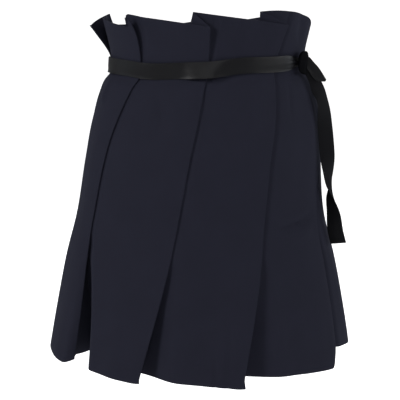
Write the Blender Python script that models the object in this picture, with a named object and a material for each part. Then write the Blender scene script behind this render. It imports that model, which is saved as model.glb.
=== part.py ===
"""Pleated mini skirt with a paper-bag top and a ribbon belt tied at the side.

Eight flared gores, cut in one from the frill above the belt down to the hem, are
joined as knife pleats, like shingles. The left part of each gore starts behind the
fold of the gore before it, and its own right edge folds back under. The pleats are
stitched flat from the belt to the hip, and open above the belt and below the hip.

Places on the skirt are given in garment coordinates (s, n, h): the arc s runs round
the body from the centre front towards +X, n is the distance out from the body line,
and h is the height above the middle of the belt. Front is -Y, up is +Z, metres.
"""
import math
from typing import NamedTuple

import bpy
import numpy as np

# ------------------------------------------------------------------ driving sizes
CLOTH = 0.0010            # wall of the skirt cloth
PLY = 0.0016              # from one layer of a stitched pleat to the next
RIBBON_WIDTH = 0.020
RIBBON_WALL = 0.0010
GAP = 0.0004              # air left between two separate pieces

BELT_TOP = 0.5 * RIBBON_WIDTH
FRILL_TOP = 0.060         # nominal height of the frill's edge
HEM = -0.382              # nominal height of the hem
HIP = -0.200
HIGH_HIP = -0.100
OVERLAP_BELT = 0.022      # hidden part of a pleat at the belt
RISE_LENGTH = 0.009       # the cloth comes up to the body line over this length


class Ring(NamedTuple):
    """The body line at one height: an ellipse with its own front and back depth."""
    height: float
    half_width: float
    front: float
    back: float
    centre_x: float
    slope: float          # how much the level line rises towards +X


RINGS = [
    Ring(0.075, 0.1375, 0.107, 0.105, -0.0010, 0.028),
    Ring(0.010, 0.1262, 0.098, 0.100, 0.0010, 0.028),
    Ring(0.000, 0.1254, 0.097, 0.099, 0.0010, 0.028),
    Ring(-0.010, 0.1260, 0.097, 0.099, 0.0008, 0.028),
    Ring(-0.020, 0.1332, 0.101, 0.103, -0.0006, 0.027),
    Ring(-0.034, 0.1390, 0.104, 0.108, -0.0013, 0.025),
    Ring(-0.070, 0.1488, 0.109, 0.119, -0.0036, 0.022),
    Ring(-0.120, 0.1563, 0.113, 0.130, -0.0062, 0.016),
    Ring(-0.200, 0.1662, 0.120, 0.140, -0.0084, 0.010),
    Ring(-0.260, 0.1830, 0.131, 0.148, -0.0092, 0.007),
    Ring(-0.320, 0.1955, 0.144, 0.159, -0.0090, 0.005),
    Ring(-0.395, 0.2090, 0.159, 0.172, -0.0092, 0.005),
]


class Pleat(NamedTuple):
    """One knife pleat. Its fold leans away from an even eighth of the ring."""
    lean_top: float
    lean_high_hip: float
    lean_hip: float
    lean_hem: float
    stitch_end: float     # height where the stitching stops
    hidden_top: float     # hidden overlap at the frill's edge
    hidden_hem: float
    depth_top: float      # how deep the hidden seam lies in the frill
    depth_hem: float
    mouth_top: float      # how wide the pleat gapes
    mouth_hem: float
    flare_top: float      # how far the fold stands out
    flare_hem: float


PLEATS = [                # from the centre front towards +X, right round
    Pleat(-0.004, 0.0155, 0.030, 0.079, -0.235, 0.021, 0.030, 0.004, 0.010, 0.006, 0.014, 0.006, 0.002),
    Pleat(-0.015, 0.0155, 0.033, 0.090, -0.235, 0.038, 0.030, 0.003, 0.011, 0.004, 0.018, 0.006, 0.002),
    Pleat(0.002, 0.0300, 0.060, 0.091, -0.205, 0.022, 0.022, 0.004, 0.016, 0.006, 0.008, 0.003, 0.003),
    Pleat(-0.006, 0.0180, 0.036, 0.074, -0.225, 0.045, 0.024, 0.004, 0.012, 0.006, 0.006, 0.006, 0.003),
    Pleat(-0.010, 0.0160, 0.032, 0.082, -0.235, 0.026, 0.030, 0.004, 0.010, 0.005, 0.012, 0.008, 0.002),
    Pleat(0.000, 0.0180, 0.038, 0.070, -0.220, 0.022, 0.024, 0.004, 0.014, 0.006, 0.008, 0.007, 0.003),
    Pleat(0.000, 0.0200, 0.040, 0.060, -0.215, 0.022, 0.022, 0.004, 0.020, 0.006, 0.010, 0.018, 0.003),
    Pleat(0.001, 0.0280, 0.038, 0.044, -0.212, 0.018, 0.020, 0.005, 0.046, 0.010, 0.028, 0.005, 0.002),
]


class Gore(NamedTuple):
    """Heights of one gore's corners: at its hidden left seam and at its right fold."""
    name: str
    top_left: float
    top_right: float
    hem_left: float
    hem_right: float


GORES = [
    Gore("panel_front_left", 0.0690, 0.0510, -0.3680, -0.3905),
    Gore("panel_side_front_left", 0.0675, 0.0500, -0.3740, -0.3850),
    Gore("panel_side_back_left", 0.0640, 0.0490, -0.3700, -0.3860),
    Gore("panel_back_left", 0.0660, 0.0440, -0.3710, -0.3870),
    Gore("panel_back_right", 0.0580, 0.0430, -0.3720, -0.3880),
    Gore("panel_side_back_right", 0.0600, 0.0550, -0.3720, -0.3870),
    Gore("panel_side_front_right", 0.0680, 0.0500, -0.3790, -0.3800),
    Gore("panel_front_right", 0.0680, 0.0500, -0.3730, -0.3865),
]

# Heights of a gore's rows of points between its slanted top and hem.
ROWS = [BELT_TOP, 0.0, -BELT_TOP, -0.020, -0.034, -0.060, -0.095, -0.130, -0.165, -0.200, -0.228,
        -0.256, -0.288, -0.320, -0.350]
FRILL_ROWS = (1.0, 0.66, 0.33)   # rows above the belt, as parts of the frill's height
FACE_POINTS = 4           # points along the flat of a gore's face
FOLD_ARC = (-45.0, 0.0, 45.0)
RETURN_POINTS = 3         # points from the fold back to the hidden seam
HEIGHT_ROUNDS = 3         # a point's height and its place along the row settle together


# ------------------------------------------------------------------ the body line
def smooth(x, knots, values):
    """Read a curve through (knots, values), knots rising, with even tangents."""
    x = np.clip(np.asarray(x, float), knots[0], knots[-1])
    knots, values = np.asarray(knots), np.asarray(values)
    slopes = np.gradient(values, knots)
    i = np.clip(np.searchsorted(knots, x, side="right") - 1, 0, len(knots) - 2)
    width = knots[i + 1] - knots[i]
    t = (x - knots[i]) / width
    return ((2 * t**3 - 3 * t**2 + 1) * values[i] + (t**3 - 2 * t**2 + t) * width * slopes[i]
            + (3 * t**2 - 2 * t**3) * values[i + 1] + (t**3 - t**2) * width * slopes[i + 1])


def ring_value(column, h):
    """Read one column of the table of rings at the heights h."""
    rows = RINGS[::-1]
    return smooth(h, [r.height for r in rows], [getattr(r, column) for r in rows])


def girth(h):
    """Length of the body line round the body at the height h."""
    a = ring_value("half_width", h)
    b = 0.5 * (ring_value("front", h) + ring_value("back", h))
    flat = ((a - b) / (a + b)) ** 2
    return math.pi * (a + b) * (1 + 3 * flat / (10 + np.sqrt(4 - 3 * flat)))


def to_world(turn, n, h):
    """World point for a part of a full turn from the centre front, n and h."""
    turn, n, h = np.broadcast_arrays(turn, n, h)
    a = ring_value("half_width", h)
    front, back = ring_value("front", h), ring_value("back", h)
    b = 0.5 * (front + back)
    even = 2 * math.pi * turn
    angle = even - 0.25 * (a**2 - b**2) / (a**2 + b**2) * np.sin(2 * even)
    across, along = np.sin(angle), np.cos(angle)
    depth = np.where(along > 0, front, back)
    normal_x, normal_y = across / a, -along / depth
    length = np.hypot(normal_x, normal_y)
    x = ring_value("centre_x", h) + a * across + n * normal_x / length
    y = -depth * along + n * normal_y / length
    z = h + x * ring_value("slope", h)
    return np.stack([x, y, z], axis=-1)


# ------------------------------------------------------------------ pleats
def step(t):
    """Smooth step from 0 to 1."""
    t = np.clip(t, 0.0, 1.0)
    return t * t * (3 - 2 * t)


def pleat_section(number, h):
    """Places of one pleat's fold and hidden seam at the heights h.

    Returns a dict of arrays: the fold's arc position, the ends of the return (far)
    and of the next gore (near) at the hidden seam, the mouth and the flare.
    """
    pleat = PLEATS[number % len(PLEATS)]
    opened = np.maximum((pleat.stitch_end - h) / (pleat.stitch_end - HEM), 0.0)
    raised = np.maximum((h - BELT_TOP) / (FRILL_TOP - BELT_TOP), 0.0)
    lean = smooth(h, [HEM, HIP, HIGH_HIP, 0.0, FRILL_TOP],
                  [pleat.lean_hem, pleat.lean_hip, pleat.lean_high_hip, 0.0, pleat.lean_top])
    hidden = (OVERLAP_BELT + (pleat.hidden_hem - OVERLAP_BELT) * opened
              + (pleat.hidden_top - OVERLAP_BELT) * raised)
    depth = pleat.depth_hem * opened + pleat.depth_top * raised
    flare = pleat.flare_hem * opened + pleat.flare_top * raised**1.3
    mouth = pleat.mouth_hem * opened + pleat.mouth_top * raised
    fold = number * girth(h) / len(PLEATS) - lean
    far = np.stack([fold - hidden, -depth], axis=-1)
    back_way = far - np.stack([fold, flare], axis=-1)
    back_way /= np.linalg.norm(back_way, axis=-1, keepdims=True)
    out_way = np.stack([hidden + mouth, depth + 1e-6], axis=-1)
    out_way /= np.linalg.norm(out_way, axis=-1, keepdims=True)
    closed_end = back_way - out_way
    closed_end /= np.linalg.norm(closed_end, axis=-1, keepdims=True)
    near = far + PLY * np.stack([-closed_end[..., 1], closed_end[..., 0]], axis=-1)
    return {"fold": fold, "hidden": hidden, "far": far, "near": near,
            "mouth": mouth, "flare": flare, "depth": depth}


def underlay(left):
    """Points from the hidden seam out to the body line, beside the fold before."""
    start, fold, mouth = left["near"], left["fold"], left["mouth"]
    s = np.stack([start[:, 0], 0.5 * (start[:, 0] + fold), fold - 0.004,
                  fold + 0.0015 + 0.33 * mouth, fold + 0.66 * mouth + 0.45 * RISE_LENGTH,
                  fold + mouth + RISE_LENGTH], axis=1)
    end = s[:, -1:]
    flat_rise = step((s - s[:, 3:4]) / (end - s[:, 3:4]))
    late_rise = ((s - s[:, :1]) / (end - s[:, :1])) ** 3
    openness = np.clip(left["depth"][:, None] / 0.010, 0.0, 1.0)
    rise = flat_rise + (late_rise - flat_rise) * openness
    return np.stack([s, start[:, 1:2] * (1 - rise)], axis=-1)


def face_height(s, right):
    """Height of a gore's face above the body line, near its own fold."""
    fold, hidden = right["fold"][:, None], right["hidden"][:, None]
    reach = 2.2 * hidden
    lift = np.clip(1 - (fold - s) / reach, 0.0, 1.0) ** 2 * right["flare"][:, None]
    return lift + PLY * step((s - (fold - hidden - 0.030)) / 0.030)


def fold_back(right):
    """Points of the face beside its fold, round the fold, and back to the far seam."""
    fold, hidden, flare = (right[key][:, None] for key in ("fold", "hidden", "flare"))
    s = np.concatenate([fold - hidden, fold - 0.5 * hidden, fold - 0.004,
                        fold - 0.5 * PLY], axis=1)
    face = np.stack([s, face_height(s, right)], axis=-1)
    slope = 2 * flare / (2.2 * hidden)
    along = np.concatenate([np.ones_like(slope), slope], axis=1)
    along /= np.linalg.norm(along, axis=1, keepdims=True)
    down = np.stack([along[:, 1], -along[:, 0]], axis=1)
    middle = face[:, -1] + 0.5 * PLY * down
    arc = [middle + 0.5 * PLY * (math.sin(t) * down + math.cos(t) * along)
           for t in np.radians(FOLD_ARC)]
    start = face[:, -1] + PLY * down
    half = 0.5 * (start + right["far"])
    below = face_height(half[:, :1], right)[:, 0] - PLY * np.sqrt(1 + (slope[:, 0] / 2) ** 2)
    half[:, 1] = np.minimum(half[:, 1], below)
    return np.concatenate([face, np.stack(arc + [start, half, right["far"]], axis=1)], axis=1)


def gore_path(number, h):
    """Middle line of one gore's cloth at the heights h, as arc and distance out."""
    left, right = pleat_section(number, h), pleat_section(number + 1, h)
    start, end = underlay(left), fold_back(right)
    share = (np.arange(FACE_POINTS) + 1) / (FACE_POINTS + 1)
    s = start[:, -1:, 0] + share * (end[:, :1, 0] - start[:, -1:, 0])
    face = np.stack([s, face_height(s, right)], axis=-1)
    return np.concatenate([start, face, end], axis=1)


def wall_offsets(middle):
    """Way out from the cloth's middle face, kept square to it round its bends."""
    down = np.gradient(middle, axis=0)
    way = np.diff(middle, axis=1)
    before = np.cross(down, np.concatenate([way[:, :1], way], axis=1))
    after = np.cross(down, np.concatenate([way, way[:, -1:]], axis=1))
    before /= np.linalg.norm(before, axis=-1, keepdims=True)
    after /= np.linalg.norm(after, axis=-1, keepdims=True)
    both = before + after
    both /= np.linalg.norm(both, axis=-1, keepdims=True)
    return both / np.clip(np.sum(both * before, axis=-1, keepdims=True), 0.7, 1.0)


def gore_heights(number, s, h):
    """Height of each point: level rows between a slanted top edge and hem.

    The edges run straight from the hidden left seam to the fold. From the fold they
    rise again along the return, to meet the next gore at the seam that joins them.
    """
    gore, after = GORES[number], GORES[(number + 1) % len(GORES)]
    left = pleat_section(number, h[:, 0])["near"][:, :1]
    right = pleat_section(number + 1, h[:, -1])
    fold, far = right["fold"][:, None], right["far"][:, :1]
    share = np.clip((s - left) / (fold - left), 0.0, 1.0)
    turned = np.arange(s.shape[1]) >= s.shape[1] - RETURN_POINTS
    back = np.where(turned, np.clip((fold - s) / (fold - far), 0.0, 1.0), 0.0)

    def edge(row, start, end, joined):
        line = start + (end - start) * share[row]
        return line + (joined - end) * back[row]

    heights = h.copy()
    for row, part in enumerate(FRILL_ROWS):
        top_edge = edge(row, gore.top_left, gore.top_right, after.top_left)
        heights[row] = BELT_TOP + part * (top_edge - BELT_TOP)
    heights[-1] = edge(-1, gore.hem_left, gore.hem_right, after.hem_left)
    return heights


def gore_sheets(number):
    """Outer and inner face of one gore, as grids of world points."""
    frill = [BELT_TOP + part * (FRILL_TOP - BELT_TOP) for part in FRILL_ROWS]
    levels = np.array(frill + ROWS + [HEM])
    path = gore_path(number, levels)
    h = np.repeat(levels[:, None], path.shape[1], axis=1)
    for _ in range(HEIGHT_ROUNDS):
        h = gore_heights(number, path[..., 0], h)
        path = np.stack([gore_path(number, h[:, column])[:, column]
                         for column in range(h.shape[1])], axis=1)
    middle = to_world(path[..., 0] / girth(h), path[..., 1], h)
    out = 0.5 * CLOTH * wall_offsets(middle)
    return middle + out, middle - out


# ------------------------------------------------------------------ meshes
def make_object(name, verts, faces, material):
    """Make one named object from points and faces, shaded smooth."""
    mesh = bpy.data.meshes.new(name)
    mesh.from_pydata([tuple(v) for v in verts], [], faces)
    mesh.update()
    mesh.shade_smooth()
    mesh.set_sharp_from_angle(angle=math.radians(40))
    mesh.materials.append(material)
    obj = bpy.data.objects.new(name, mesh)
    bpy.context.scene.collection.objects.link(obj)
    return obj


def sheet_solid(name, outer, inner, material):
    """Close two grids of points, outer and inner, into one wall of cloth."""
    rows, cols = outer.shape[:2]
    front = np.arange(rows * cols).reshape(rows, cols)
    back = front + rows * cols

    def triangles(grid):
        corners = [grid[:-1, :-1], grid[1:, :-1], grid[1:, 1:], grid[:-1, 1:]]
        halves = [np.stack([corners[k] for k in half], axis=-1).reshape(-1, 3)
                  for half in ((0, 1, 2), (0, 2, 3))]
        return np.concatenate(halves)

    def rim(line, other):
        return np.stack([line[:-1], line[1:], other[1:], other[:-1]], axis=-1)

    walls = np.concatenate([triangles(front), triangles(back)[:, ::-1]])
    rims = np.concatenate([rim(front[0], back[0]), rim(back[-1], front[-1]),
                           rim(back[:, 0], front[:, 0]), rim(front[:, -1], back[:, -1])])
    verts = np.concatenate([outer.reshape(-1, 3), inner.reshape(-1, 3)])
    return make_object(name, verts, walls.tolist() + rims.tolist(), material)


def cloth_material(name, colour, roughness, sheen):
    """Plain Principled cloth."""
    material = bpy.data.materials.new(name)
    material.use_nodes = True
    shader = material.node_tree.nodes["Principled BSDF"]
    shader.inputs["Base Color"].default_value = (*colour, 1.0)
    shader.inputs["Roughness"].default_value = roughness
    shader.inputs["Metallic"].default_value = 0.0
    shader.inputs["Sheen Weight"].default_value = sheen
    return material


# ------------------------------------------------------------------ belt
BELT_INNER = PLY + 0.5 * CLOTH + GAP          # clears the folds it is tied over
BELT_SEGMENTS = 72
BELT_OUTER = BELT_INNER + RIBBON_WALL
KNOT_TURN = 0.1870                            # part of a turn from the centre front
KNOT_HALF = (0.0105, 0.0062, 0.0150)          # along the belt, out, up
KNOT_CELLS = (16, 10)


def belt_band(material):
    """The ribbon round the waist: a flat band lying on the folds."""
    turns = np.arange(BELT_SEGMENTS) / BELT_SEGMENTS
    section = [(BELT_OUTER, BELT_TOP), (BELT_OUTER, 0.0), (BELT_OUTER, -BELT_TOP),
               (BELT_INNER, -BELT_TOP), (BELT_INNER, 0.0), (BELT_INNER, BELT_TOP)]
    verts = np.stack([to_world(turns, n, h) for n, h in section], axis=1)
    index = np.arange(verts.shape[0] * verts.shape[1]).reshape(verts.shape[:2])
    after, below = np.roll(index, -1, axis=0), np.roll(index, -1, axis=1)
    corner = np.roll(after, -1, axis=1)
    faces = np.stack([index, below, corner, after], axis=-1).reshape(-1, 4)
    return make_object("belt_band", verts.reshape(-1, 3), faces.tolist(), material)


def belt_knot(material):
    """The knot: a lump of pulled ribbon, pinched at its middle."""
    columns, rows = KNOT_CELLS
    along, out, up = KNOT_HALF
    round_angle = np.linspace(0, 2 * math.pi, columns, endpoint=False)
    rise = np.linspace(-0.5 * math.pi, 0.5 * math.pi, rows + 1)[1:-1]
    a, r = np.meshgrid(round_angle, rise)
    rounded = np.sign(np.cos(r)) * np.abs(np.cos(r)) ** 0.7
    pinch = 1 - 0.16 * np.cos(r) ** 4
    turn = KNOT_TURN + along * pinch * rounded * np.cos(a) / girth(0.0)
    n = BELT_OUTER + GAP + out + out * rounded * np.sin(a)
    grid = to_world(turn, n, up * np.sin(r))
    poles = to_world(np.full(2, KNOT_TURN), BELT_OUTER + GAP + out, np.array([-up, up]))
    index = np.arange(grid.shape[0] * columns).reshape(-1, columns)
    right = np.roll(index, -1, axis=1)
    faces = np.stack([index[:-1], index[1:], right[1:], right[:-1]], axis=-1).reshape(-1, 4)
    low, high = index.size, index.size + 1
    faces = faces.tolist() + [[low, a, b] for a, b in zip(index[0], right[0])]
    faces += [[high, b, a] for a, b in zip(index[-1], right[-1])]
    verts = np.concatenate([grid.reshape(-1, 3), poles])
    return make_object("belt_knot", verts, faces, material)


class Station(NamedTuple):
    """A place on a loose ribbon's middle line, with its width and its twist."""
    x: float
    y: float
    z: float
    width: float
    twist: float          # degrees from +X towards +Y, of the way across the ribbon
    dip: float            # degrees that the way across falls


LONG_END = [
    Station(0.1303, -0.0450, -0.0070, 0.009, 0.0, 80.0),
    Station(0.1357, -0.0420, -0.0150, 0.015, 4.0, 56.0),
    Station(0.1422, -0.0385, -0.0270, 0.018, 20.0, 35.0),
    Station(0.1492, -0.0350, -0.0410, 0.020, 52.0, 14.0),
    Station(0.1532, -0.0322, -0.0560, 0.020, 58.0, 4.0),
    Station(0.1547, -0.0304, -0.0740, 0.020, 34.0, 0.0),
    Station(0.1562, -0.0292, -0.0930, 0.020, 14.0, 0.0),
    Station(0.1585, -0.0296, -0.1150, 0.020, 14.0, 0.0),
    Station(0.1603, -0.0300, -0.1360, 0.020, 46.0, 0.0),
    Station(0.1612, -0.0305, -0.1560, 0.020, 72.0, 0.0),
    Station(0.1640, -0.0312, -0.1740, 0.020, 112.0, 0.0),
    Station(0.1672, -0.0324, -0.1940, 0.020, 140.0, 0.0),
    Station(0.1706, -0.0340, -0.2170, 0.020, 160.0, 4.0),
    Station(0.1745, -0.0355, -0.2390, 0.020, 160.0, 8.0),
]
SHORT_END = [
    Station(0.1299, -0.0480, 0.0042, 0.009, 0.0, 86.0),
    Station(0.1352, -0.0478, 0.0000, 0.016, 0.0, 76.0),
    Station(0.1408, -0.0475, -0.0058, 0.018, 0.0, 66.0),
    Station(0.1466, -0.0470, -0.0120, 0.013, 0.0, 60.0),
    Station(0.1524, -0.0465, -0.0176, 0.003, 0.0, 56.0),
]
END_ROWS = 4              # rows of points between two stations


def loose_end(name, stations, material):
    """A ribbon end carried along its middle line, turned as its stations say."""
    knots = np.arange(len(stations))
    t = np.linspace(0, len(stations) - 1, END_ROWS * (len(stations) - 1) + 1)
    x, y, z, width, twist, dip = (smooth(t, knots, column) for column in zip(*stations))
    line = np.stack([x, y, z], axis=-1)
    twist, dip = np.radians(twist), np.radians(dip)
    across = np.stack([np.cos(twist) * np.cos(dip), np.sin(twist) * np.cos(dip), np.sin(dip)],
                      axis=-1)
    along = np.gradient(line, axis=0)
    normal = np.cross(across, along)
    normal /= np.linalg.norm(normal, axis=-1, keepdims=True)
    side = np.array([-0.5, 0.0, 0.5])[None, :, None] * width[:, None, None]
    middle = line[:, None] + side * across[:, None]
    wall = 0.5 * RIBBON_WALL * normal[:, None]
    return sheet_solid(name, middle - wall, middle + wall, material)


# ------------------------------------------------------------------ the skirt
def main():
    """Clear the scene and build every piece of the skirt."""
    for obj in list(bpy.data.objects):
        bpy.data.objects.remove(obj, do_unlink=True)
    navy = cloth_material("navy_crepe", (0.0168, 0.0176, 0.0273), 0.72, 0.25)
    black = cloth_material("black_satin_ribbon", (0.0120, 0.0122, 0.0140), 0.38, 0.0)
    for number, gore in enumerate(GORES):
        outer, inner = gore_sheets(number)
        sheet_solid(gore.name, outer, inner, navy)
    belt_band(black)
    belt_knot(black)
    loose_end("belt_long_end", LONG_END, black)
    loose_end("belt_short_end", SHORT_END, black)


main()
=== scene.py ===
"""Looks of a pleated mini skirt with a paper-bag top and a ribbon belt tied at the side.

Every cloth piece is a surface worked out in garment coordinates: a part of a full turn
round the body from the centre front towards +X, n metres out from the body line, and h
metres above the middle of the belt. Front is -Y, up is +Z. One body line and one drape
serve all pieces, so layers that lie on each other bend together.
"""
import logging
import math
from dataclasses import dataclass, field
from enum import Enum

import bpy
import numpy as np
from numpy.typing import NDArray
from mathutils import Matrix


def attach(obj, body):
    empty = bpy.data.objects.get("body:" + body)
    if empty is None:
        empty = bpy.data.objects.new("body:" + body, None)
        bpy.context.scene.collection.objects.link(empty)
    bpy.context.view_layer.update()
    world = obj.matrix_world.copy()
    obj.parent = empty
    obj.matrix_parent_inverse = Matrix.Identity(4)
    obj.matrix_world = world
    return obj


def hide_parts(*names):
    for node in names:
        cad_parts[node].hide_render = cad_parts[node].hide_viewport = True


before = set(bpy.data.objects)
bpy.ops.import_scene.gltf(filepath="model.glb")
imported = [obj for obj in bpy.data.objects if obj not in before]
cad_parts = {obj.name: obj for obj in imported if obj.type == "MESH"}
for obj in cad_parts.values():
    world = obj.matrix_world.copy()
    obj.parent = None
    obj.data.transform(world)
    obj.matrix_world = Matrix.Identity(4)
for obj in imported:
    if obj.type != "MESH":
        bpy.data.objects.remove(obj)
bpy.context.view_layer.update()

Array = NDArray[np.float64]
Index = NDArray[np.int64]
Path = tuple[Array, Array]      # arc position and distance out, as two grids
Colour = tuple[float, float, float]

SHARP_ANGLE = 50.0              # degrees between two faces that shade as an edge
LONGEST_MITRE = 0.7             # least cosine that a wall's mitre is worked out for
KNOT_TURN = 0.1870              # where the ribbon is tied, as a part of a full turn

log = logging.getLogger("skirt")


class Held(Enum):
    """How a sheet of cloth is held."""

    HUNG = "hung"
    STRETCHED = "stretched"


# ---------------------------------------------------------------- curves and meshes
def smooth_curve(x: Array, knots: Array, values: Array) -> Array:
    """Read a curve through points: cubic between knots, sloped as its neighbours lie.

    Args:
        x: places to read, held within the first and last knot.
        knots: rising places of the points.
        values: the points' values.

    Returns:
        The curve's value at each x.
    """
    x = np.clip(np.asarray(x, float), knots[0], knots[-1])
    knots, values = np.asarray(knots, float), np.asarray(values, float)
    slopes = np.gradient(values, knots)
    i = np.clip(np.searchsorted(knots, x, side="right") - 1, 0, len(knots) - 2)
    width = knots[i + 1] - knots[i]
    t = (x - knots[i]) / width
    return ((2 * t**3 - 3 * t**2 + 1) * values[i] + (t**3 - 2 * t**2 + t) * width * slopes[i]
            + (3 * t**2 - 2 * t**3) * values[i + 1] + (t**3 - t**2) * width * slopes[i + 1])


def step(t: Array) -> Array:
    """Smooth step from 0 to 1: three t squared less two t cubed."""
    t = np.clip(t, 0.0, 1.0)
    return t * t * (3 - 2 * t)


def near(distance: Array, reach: Array | float) -> Array:
    """One at no distance, falling to zero at the reach with the square of what is left."""
    return np.clip(1 - distance / reach, 0.0, 1.0) ** 2


def square_offsets(middle: Array, closed: bool = False) -> Array:
    """Way out from a middle face, kept square to it and mitred round its bends.

    The way is the cross product of the step down a column and the step along a row,
    averaged over the two sides of each point and lengthened by one over the cosine.

    Args:
        middle: grid of points, rows from top to bottom, columns round the body.
        closed: whether the last column meets the first.

    Returns:
        One outward vector for each point of the grid.
    """
    down = np.gradient(middle, axis=0)
    if closed:
        way = np.roll(middle, -1, axis=1) - middle
        before, after = np.roll(way, 1, axis=1), way
    else:
        way = np.diff(middle, axis=1)
        before = np.concatenate([way[:, :1], way], axis=1)
        after = np.concatenate([way, way[:, -1:]], axis=1)
    before, after = np.cross(down, before), np.cross(down, after)
    before /= np.linalg.norm(before, axis=-1, keepdims=True)
    after /= np.linalg.norm(after, axis=-1, keepdims=True)
    both = before + after
    both /= np.linalg.norm(both, axis=-1, keepdims=True)
    return both / np.clip(np.sum(both * before, axis=-1, keepdims=True), LONGEST_MITRE, 1.0)


def quads(grid: Index) -> Index:
    """Four-sided faces between the neighbouring points of a grid."""
    return np.stack([grid[:-1, :-1], grid[1:, :-1], grid[1:, 1:], grid[:-1, 1:]],
                    axis=-1).reshape(-1, 4)


def rim(line: Index, other: Index) -> Index:
    """Faces that close a wall along one edge."""
    return np.stack([line[:-1], line[1:], other[1:], other[:-1]], axis=-1)


def put(name: str, data: bpy.types.ID) -> bpy.types.Object:
    """Put a mesh, a lamp or a camera in the scene, at the origin."""
    obj = bpy.data.objects.new(name, data)
    bpy.context.scene.collection.objects.link(obj)
    return obj


def claim(obj: bpy.types.Object, node_name: str) -> None:
    """Say what a piece rides on, and hide the node that it replaces."""
    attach(obj, "root")
    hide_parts(node_name)


def sheet_object(name: str, middle: Array, wall: float, uv: Array, edge: Array,
                 material: bpy.types.Material, closed: bool = False) -> bpy.types.Object:
    """Make a wall of cloth round its middle face, and give it its maps.

    Args:
        name: name of the piece.
        middle: grid of points, rows from top to bottom.
        wall: thickness of the cloth.
        uv: place on the cloth of each grid point, in metres along and up.
        edge: distances of each grid point from the lower and the upper edge, in metres.
        material: the cloth.
        closed: whether the last column meets the first.

    Returns:
        The piece, at the origin, shaded smooth.
    """
    out = 0.5 * wall * square_offsets(middle, closed)
    rows, cols = middle.shape[:2]
    front = np.arange(rows * cols).reshape(rows, cols)
    back = front + rows * cols
    if closed:
        front, back = np.c_[front, front[:, :1]], np.c_[back, back[:, :1]]
    parts = [quads(front), quads(back)[:, ::-1], rim(front[0], back[0]),
             rim(back[-1], front[-1])]
    if not closed:
        parts += [rim(back[:, 0], front[:, 0]), rim(front[:, -1], back[:, -1])]
    faces = np.concatenate(parts)
    mesh = bpy.data.meshes.new(name)
    verts = np.concatenate([(middle + out).reshape(-1, 3), (middle - out).reshape(-1, 3)])
    mesh.vertices.add(len(verts))
    mesh.vertices.foreach_set("co", verts.astype(np.float32).ravel())
    mesh.loops.add(faces.size)
    mesh.loops.foreach_set("vertex_index", faces.astype(np.int32).ravel())
    mesh.polygons.add(len(faces))
    mesh.polygons.foreach_set("loop_start", np.arange(0, faces.size, 4, dtype=np.int32))
    mesh.update(calc_edges=True)
    mesh.validate()
    for key, grid in (("cloth", uv), ("edge", edge)):
        layer = mesh.uv_layers.new(name=key)
        both = np.concatenate([grid.reshape(-1, 2)] * 2)
        layer.data.foreach_set("uv", both[faces.ravel()].astype(np.float32).ravel())
    mesh.shade_smooth()
    mesh.set_sharp_from_angle(angle=math.radians(SHARP_ANGLE))
    mesh.materials.append(material)
    return put(name, mesh)


# ---------------------------------------------------------------- the body line
@dataclass(frozen=True)
class Ring:
    """The body line at one height: an ellipse with its own front and back depth."""

    height: float
    half_width: float
    front: float
    back: float
    centre_x: float
    slope: float          # how much a row rises for each metre towards +X


@dataclass(frozen=True)
class Mark:
    """A value at one place round the body, in degrees from the centre front."""

    degrees: float
    value: float


def read_round(marks: tuple[Mark, ...], turn: Array) -> Array:
    """Read marks from -180 to 180 degrees at parts of a full turn, as a smooth curve."""
    return smooth_curve((turn * 360.0 + 180.0) % 360.0 - 180.0,
                        [m.degrees for m in marks], [m.value for m in marks])


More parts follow.
